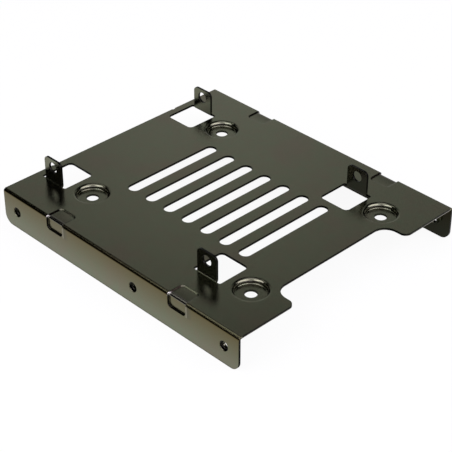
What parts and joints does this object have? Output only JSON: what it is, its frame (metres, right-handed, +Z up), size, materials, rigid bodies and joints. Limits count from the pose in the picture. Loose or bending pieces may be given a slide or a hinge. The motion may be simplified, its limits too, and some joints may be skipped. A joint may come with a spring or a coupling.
{
  "type": "drive bay adapter panel",
  "caption": "Folded sheet steel panel that holds small drives above and below in a larger drive bay, with side flanges, upright tabs, dimples and vent slots.",
  "frame": {"origin": "centre of the footprint, on the plane of the flanges' lower edges", "axes": "+X across the bay, +Y along the flanges towards the straight back edge, +Z up, the way the tabs point"},
  "size_m": [0.1016, 0.115, 0.0224],
  "materials": {
    "black_satin": "satin"
  },
  "bodies": {
    "root": {"adapter_panel": "black_satin"}
  },
  "joints": []
}
